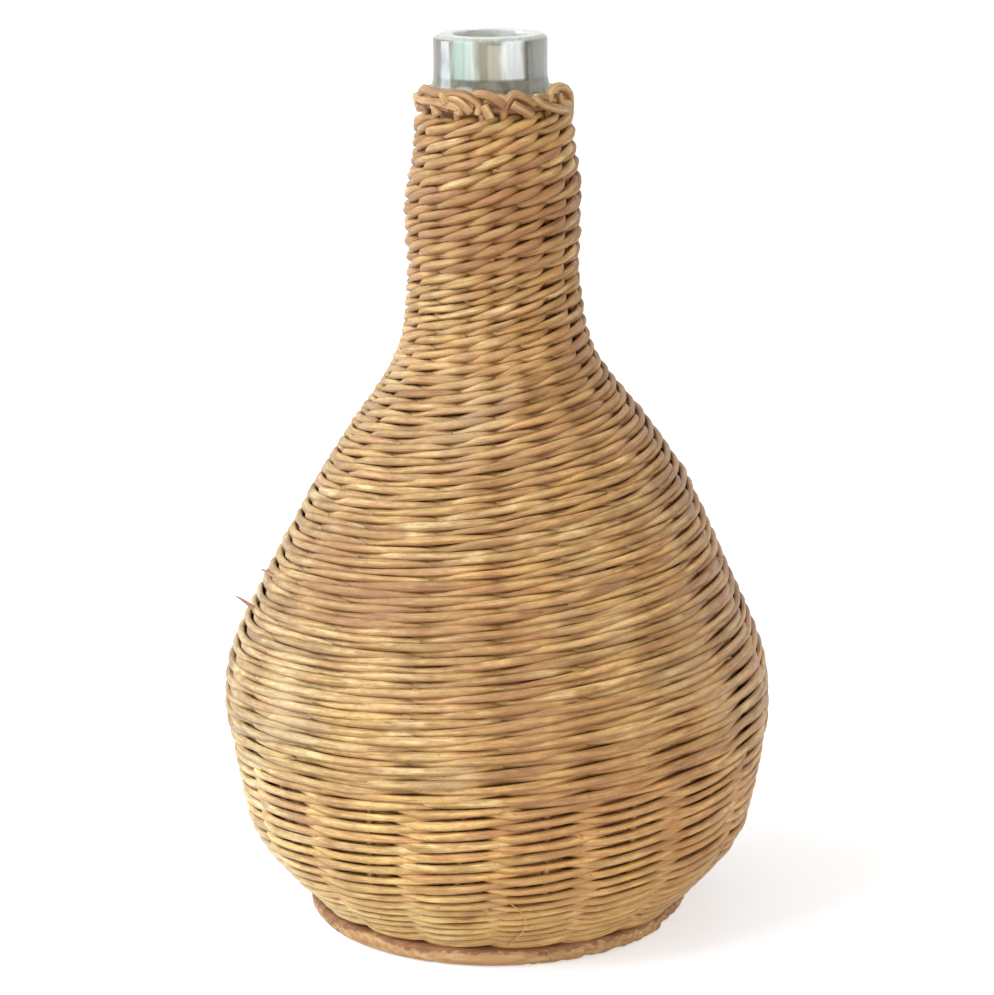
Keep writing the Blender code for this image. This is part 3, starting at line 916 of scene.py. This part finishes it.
# Painted reflections of the collar's glass, and where round it they follow one another, in turns
# from the back
OLIVE = (84, 77, 50)
KHAKI = (104, 104, 72)
GREY = (114, 114, 88)
BEIGE = (158, 150, 126)
GREEN = (188, 206, 190)
PALE = (220, 226, 215)
PALEST = (250, 252, 247)
DARKEST = (20, 24, 12)
PAINTED_REFLECTIONS = tones(
    (0.0, BEIGE), (0.08, PALE), (0.16, GREY), (0.2, PALE),
    (0.25, OLIVE), (0.35, OLIVE), (0.37, GREY), (0.385, GREY),
    (0.398, GREEN), (0.42, GREEN), (0.448, PALE), (0.466, BEIGE),
    (0.53, BEIGE), (0.55, PALEST), (0.592, PALEST), (0.604, GREY),
    (0.614, OLIVE), (0.6256, DARKEST), (0.638, KHAKI), (0.72, KHAKI),
    (0.8, PALE), (0.88, GREY), (0.94, PALE), (1.0, BEIGE),
)
RIPPLE_NOISE = ((120, 120, 40), 2.0)
THREAD_NOISE = ((900, 900, 30), 3.0, 0.6)
DUST_NOISE = (350, 4.0)
# How ripples bend the painted reflections, and factors of the fine threads in them
REFLECTION_BEND = (0.3, 0.7, -0.07, 0.07)
THREADS = ((0.3, (0.84, 0.85, 0.83)), (0.7, (1.06, 1.06, 1.06)))
# Dust and painted shade on the bead, where the dark neck shows through, and dust under the wicker
GREY_DUST_AND_SHADE = tones((0.3, (98, 94, 78)), (0.7, (146, 142, 122)))
BROWN_DUST = tones((0.3, (208, 158, 102)), (0.7, (238, 194, 138)))
# Heights over which bare glass, the collar and the mouth's rim take over from what is below
BARE_FADE = (BEAD_BOTTOM + 1.5 * MM, BEAD_BOTTOM + 4.5 * MM)
COLLAR_FADE = (COLLAR_BOTTOM - 0.4 * MM, COLLAR_BOTTOM + 0.5 * MM)
RIM_FADE = (GLASS_HIGH.z - 1.3 * MM, GLASS_HIGH.z - 0.7 * MM)
# The rim's painted tones by the threads, and its darker edges, painted shade, by the distance
# from the axis
RIM_DULL, RIM_BRIGHT, RIM_EDGE = (186, 184, 160), (232, 234, 222), (112, 110, 86)
OUTER_EDGE = (16.2 * MM, 17.0 * MM)
INNER_EDGE = (12.6 * MM, 12.1 * MM)
MOST_EDGE = 0.45
# Painted light in the bore, by the distance from the axis, and painted shade in the crease at the
# collar's lower edge
BORE_LIGHT = ("radius", 12.8 * MM, 12.3 * MM, 0.0, 0.55, (250, 250, 240))
CREASE_SHADE = ("crease", 0.25 * MM, 0.6 * MM, 0.35, 0.0, (62, 66, 52))
# How clear the bead and the collar are, and roughness by the dust and under the wicker
CLEARNESS = (0.0, 1.0, 0.1, 0.2)
GLASS_ROUGHNESS = (0.3, 0.8, 0.08, 0.22)
COVERED_ROUGHNESS = (0.0, 1.0, 0.9, 0.0)
GLASS_RELIEF = 1.2 * MM


def glass_material():
    """Painted reflections, light and shade at the mouth, dust and painted shade at the bead, and
    dusty brown under the wicker.
    """
    graph = Graph(bpy.data.materials.new("old_glass"))
    place, across, deep, height = graph.places()
    clear = graph.levels(height, *COLLAR_FADE)
    bare = graph.levels(height, *BARE_FADE)
    ripples = graph.noise(place, *RIPPLE_NOISE)
    threads = graph.noise(place, *THREAD_NOISE)
    dust = graph.noise(place, *DUST_NOISE)
    # Painted reflections: bands round the collar by their angle from the back
    angle = graph.math("ARCTAN2", across, graph.math("MULTIPLY", deep, -1.0))
    angle = graph.math("ADD", angle, graph.levels(ripples, *REFLECTION_BEND))
    painted_collar = graph.ramp(graph.levels(angle, -math.pi, math.pi), PAINTED_REFLECTIONS)
    painted_collar = graph.times(painted_collar, graph.ramp(threads, THREADS))
    radius = graph.math("SQRT", graph.math(
        "ADD", graph.math("MULTIPLY", across, across), graph.math("MULTIPLY", deep, deep)
    ))
    # The rim: painted tones, with painted shade at its edges
    rim = graph.mix(graph.levels(threads, 0.3, 0.7), srgb(RIM_DULL), srgb(RIM_BRIGHT))
    edge = graph.math(
        "ADD", graph.levels(radius, *OUTER_EDGE), graph.levels(radius, *INNER_EDGE)
    )
    rim = graph.mix(graph.math("MINIMUM", edge, MOST_EDGE), rim, srgb(RIM_EDGE))
    painted_collar = graph.mix(graph.levels(height, *RIM_FADE), painted_collar, rim)
    # Painted light in the bore
    painted_collar = graph.changed(painted_collar, {"radius": radius}, (BORE_LIGHT,))
    # Dust and painted shade on the bead, below the collar
    colour = graph.mix(clear, graph.ramp(dust, GREY_DUST_AND_SHADE), painted_collar)
    # Painted shade: a dark line in the crease where the collar meets the slope below
    crease = graph.math("ABSOLUTE", graph.math("SUBTRACT", height, COLLAR_BOTTOM))
    colour = graph.changed(colour, {"crease": crease}, (CREASE_SHADE,))
    rough = graph.levels(dust, *GLASS_ROUGHNESS)
    graph.shade(
        Base_Color=graph.mix(bare, graph.ramp(dust, BROWN_DUST), colour), IOR=1.5,
        Transmission_Weight=graph.math("MULTIPLY", bare, graph.levels(clear, *CLEARNESS)),
        Roughness=graph.math("MAXIMUM", rough, graph.levels(bare, *COVERED_ROUGHNESS)),
    )
    graph.bump(ripples, 0.4, GLASS_RELIEF)
    return graph.owner


WOOD_STAINED = tones((0.3, (122, 82, 50)), (0.55, (160, 112, 74)), (0.75, (186, 136, 94)))
WOOD_BARE = tones((0.3, (166, 120, 74)), (0.55, (202, 158, 106)), (0.75, (226, 190, 144)))
GRAIN_NOISE = ((30, 500, 500), 5.0, 0.6)
BLOTCH_NOISE = (60, 3.0)
CRUMB_NOISE = (420, 4.0, 0.7)
# What blotches and crumbs add to the wear, and from where on wood is bare
BLOTCH_WEAR = (0.35, 0.65, -0.5, 0.3)
CRUMB_WEAR = (0.35, 0.65, -0.35, 0.35)
BARE_WEAR = (0.42, 0.58)
WOOD_ROUGHNESS = (0.3, 0.7, 0.6, 0.85)
WOOD_RELIEF = 0.5 * MM


def wood_material():
    """Stained wood with its grain, worn bare at the edge."""
    graph = Graph(bpy.data.materials.new("worn_wood"))
    place = graph.places()[0]
    grain = graph.noise(place, *GRAIN_NOISE)
    blotch = graph.levels(graph.noise(place, *BLOTCH_NOISE), *BLOTCH_WEAR)
    crumbs = graph.noise(place, *CRUMB_NOISE)
    patchy = graph.math("ADD", blotch, graph.levels(crumbs, *CRUMB_WEAR))
    worn = graph.levels(graph.math("ADD", graph.attribute("wear"), patchy), *BARE_WEAR)
    stained, bare = graph.ramp(grain, WOOD_STAINED), graph.ramp(grain, WOOD_BARE)
    graph.shade(
        Base_Color=graph.mix(worn, stained, bare),
        Roughness=graph.levels(grain, *WOOD_ROUGHNESS),
    )
    graph.bump(graph.math("ADD", grain, crumbs), 0.7, WOOD_RELIEF)
    return graph.owner


# Glass bottle


def glass_section():
    """Outline of the solid bottle at angle 0, from the axis inside round to the axis below."""
    mesh = NODES["glass_bottle"].data
    reach = 0.01 * MM
    places = {}
    for vertex in mesh.vertices:
        if abs(vertex.co.y) < reach and vertex.co.x > -reach:
            places[vertex.index] = Vector((vertex.co.x, vertex.co.z))
    neighbours = {}
    for edge in mesh.edges:
        if all(i in places for i in edge.vertices):
            key, other = (tuple(np.round(places[i] / reach).astype(int)) for i in edge.vertices)
            neighbours.setdefault(key, set()).add(other)
            neighbours.setdefault(other, set()).add(key)
    here = max((key for key, near in neighbours.items() if len(near) == 1), key=lambda k: k[1])
    chain, before = [here], None
    while True:
        after = [key for key in neighbours[here] if key != before]
        if not after:
            return np.array(chain) * reach
        before, here = here, after[0]
        chain.append(here)


def make_glass(material, sides=GLASS_SIDES):
    """The bottle turned again from the solid's outline, with its curves made smooth."""
    section = spline_path(glass_section(), SPLINE_SAMPLES)
    section[:, 0] = np.maximum(section[:, 0], 0.0)
    section[:, 1] = np.clip(section[:, 1], GLASS_LOW.z, GLASS_HIGH.z)
    turn = 2 * math.pi * np.arange(sides) / sides
    rings = section[1:-1]
    corners = turned(
        rings[:, None, 0], turn[None, :], np.broadcast_to(rings[:, None, 1], (len(rings), sides))
    ).reshape(-1, 3)
    faces = ring_quads(len(rings), sides)
    inside, below = len(corners), len(corners) + 1
    last = (len(rings) - 1) * sides
    for number in range(sides):
        follower = (number + 1) % sides
        faces.append((inside, follower, number))
        faces.append((below, last + number, last + follower))
    poles = [(0.0, 0.0, section[0][1]), (0.0, 0.0, section[-1][1])]
    mesh = new_mesh("bottle", corners.tolist() + poles, faces)
    add_piece("bottle", mesh, material, "bottle_glass", "glass_bottle")


# Base


# Section of the board from the middle of its top round to the middle of its underside, as
# shares of its radius and height, and how worn it is there
BOARD_SECTION = (
    (0, 1, 0), (0.5, 1, 0), (0.8, 1, 0), (0.93, 1, 0), (0.985, 0.99, 0),
    (0.997, 0.93, 0.1), (1, 0.82, 0.4), (1, 0.68, 0.8), (0.999, 0.54, 1),
    (0.996, 0.4, 1), (0.988, 0.27, 1), (0.976, 0.16, 1), (0.96, 0.07, 0.9),
    (0.94, 0.02, 0.8), (0.91, 0, 0.6), (0.5, 0, 0.3), (0, 0, 0.3),
)
EDGE_START = 0.9
# Arcs of the board's edge right of the front: rough with chips, and broken away
CHIPPED_ARC = np.radians(((4, 12), (58, 66)))
NOTCH_ARC = np.radians(((58, 59), (66, 84)))
# Unevenness of the edge: how fine it is round the board and up it
ROUGH, FINE, CRUMBS = (7, 2), (34, 4), (70, 9)
# Chips come where this noise passes the level, and more of them in the chipped arc
CHIP_FINENESS = 16
CHIP_LEVEL = 0.25
BROKEN_CHIPS = 0.35
# How far in mm the edge draws in, all round and by unevenness and chips, then in the notch
EDGE_DEPTH, ROUGH_DEPTH, FINE_DEPTH, CHIP_DEPTH = 0.35, 0.3, 0.15, 3.0
NOTCH_DEPTH, NOTCH_SLOPE, NOTCH_FINE_DEPTH = 2.4, 1.2, 0.8
CHIP_LIFT = 1.6 * MM
CHIP_WEAR = 2


def around_front(turns, arc):
    """1 over an arc that fades in and out between these angles from the front."""
    fade_in, fade_out = FRONT_ANGLE + arc
    return smooth_step(turns, *fade_in) - smooth_step(turns, *fade_out)


def make_base(material):
    """Round board with a worn, chipped lower edge."""
    turns = FRONT_ANGLE + 2 * math.pi * np.arange(BASE_SIDES) / BASE_SIDES
    chipped, notch = around_front(turns, CHIPPED_ARC), around_front(turns, NOTCH_ARC)
    corners, wears = [], []
    for radius_share, height_share, wear in BOARD_SECTION:
        edge = max(0.0, (radius_share - EDGE_START) / (1 - EDGE_START))
        for angle, broken, missing in zip(turns, chipped, notch):
            direction = Vector((math.cos(angle), math.sin(angle), 0.0))
            rough, fine, crumbs = (
                noise.noise(direction * round_scale + Vector((0, 0, height_share * up_scale)))
                for round_scale, up_scale in (ROUGH, FINE, CRUMBS)
            )
            chip = max(0.0, noise.noise(direction * CHIP_FINENESS) - CHIP_LEVEL)
            chip *= 1 - height_share
            chip += broken * max(0.0, fine + 0.5 * crumbs) * BROKEN_CHIPS
            drawn = EDGE_DEPTH + ROUGH_DEPTH * rough + FINE_DEPTH * fine + CHIP_DEPTH * chip
            drawn += missing * (
                NOTCH_DEPTH - NOTCH_SLOPE * height_share + NOTCH_FINE_DEPTH * fine
            )
            radius = BASE_RADIUS * radius_share - edge * drawn * MM
            height = BASE_TOP * height_share
            height += edge * chip * CHIP_LIFT * (1 - height_share)
            corners.append((radius * direction.x, radius * direction.y, height))
            wears.append(min(1.0, wear + CHIP_WEAR * chip * edge))
    faces = [(a, d, c, b) for a, b, c, d in ring_quads(len(BOARD_SECTION), BASE_SIDES)]
    mesh = new_mesh("base_board", corners, faces)
    attribute = mesh.attributes.new("wear", "FLOAT", "POINT")
    attribute.data.foreach_set("value", wears)
    mesh.validate()
    add_piece("base_board", mesh, material, "base_wood", "wooden_base")


# Stage


WHITE = (1.0, 1.0, 1.0, 1.0)
FLOOR_TONE = (0.85, 0.85, 0.85, 1.0)
FLOOR_HALF = 4.0
FLOOR_GLOW = 0.53
WORLD_LIGHT = 0.55
MIDDLE = (0.0, 0.0, 0.14)
FOOT = (0.0, 0.0, 0.04)
DAYLIGHT = (0.95, 1.06, 1.22)
# Area lights: name, place, target, width, height, power and colour
LIGHTS = (
    ("key", (-1.35, -0.85, 1.45), MIDDLE, 1.2, 1.2, 30.0, DAYLIGHT),
    ("side", (-1.7, 0.45, 0.7), MIDDLE, 0.9, 1.4, 8.0, DAYLIGHT),
    ("fill", (1.2, -1.3, 0.8), MIDDLE, 0.15, 1.4, 0.9, WHITE[:3]),
    ("low_fill", (0.3, -1.4, 0.16), FOOT, 0.9, 0.3, 4.4, WHITE[:3]),
)
# The camera as it was fitted to the outline in the photograph
CAMERA_PLACE = (0.00075, -1.0036, 0.3851)
CAMERA_TILT = math.radians(76.13)
CAMERA_ROLL = math.radians(-0.55)
CAMERA_LENS = 116.2


def make_stage():
    """Floor that is white where the camera sees it."""
    graph = Graph(bpy.data.materials.new("floor_white"))
    glow = graph.math("MULTIPLY", graph.seen(), FLOOR_GLOW)
    graph.shade(
        Base_Color=FLOOR_TONE, Roughness=1.0, Emission_Color=WHITE, Emission_Strength=glow
    )
    half = FLOOR_HALF
    corners = [(-half, -half, 0), (half, -half, 0), (half, half, 0), (-half, half, 0)]
    mesh = new_mesh("floor", corners, [(0, 1, 2, 3)])
    mesh.materials.append(graph.owner)
    floor = add_object("floor", mesh)


def make_world():
    """White where the camera sees it, and dimmer as light."""
    world = bpy.data.worlds.new("studio")
    bpy.context.scene.world = world
    graph = Graph(world, "Background")
    graph.shade(Color=WHITE, Strength=graph.levels(graph.seen(), 0.0, 1.0, WORLD_LIGHT))


def make_lights():
    for name, place, target, width, height, power, colour in LIGHTS:
        data = bpy.data.lights.new(name, "AREA")
        data.shape = "RECTANGLE"
        data.size = width
        data.size_y = height
        data.energy = power
        data.color = colour
        light = add_object(name, data)
        light.location = place
        aim = Vector(target) - Vector(place)
        light.rotation_euler = aim.to_track_quat("-Z", "Y").to_euler()


def make_camera():
    data = bpy.data.cameras.new("view")
    data.sensor_width = 36.0
    data.lens = CAMERA_LENS
    data.clip_start = 0.01
    camera = add_object("view", data)
    tilt = Matrix.Rotation(CAMERA_TILT, 4, "X")
    roll = Matrix.Rotation(CAMERA_ROLL, 4, "Z")
    camera.matrix_world = Matrix.Translation(CAMERA_PLACE) @ tilt @ roll
    bpy.context.scene.camera = camera


def main():
    bpy.context.scene.view_settings.view_transform = "Standard"
    line = stake_line(glass_outline())
    weaver_rod = cane_material("weaver_rod", WEAVER_TONES)
    make_weavers(line, weaver_rod)
    make_stakes(line, cane_material("stake_rod", STAKE_TONES))
    make_splinters(line, weaver_rod)
    make_glass(glass_material())
    make_base(wood_material())
    make_stage()
    make_world()
    make_lights()
    make_camera()


main()
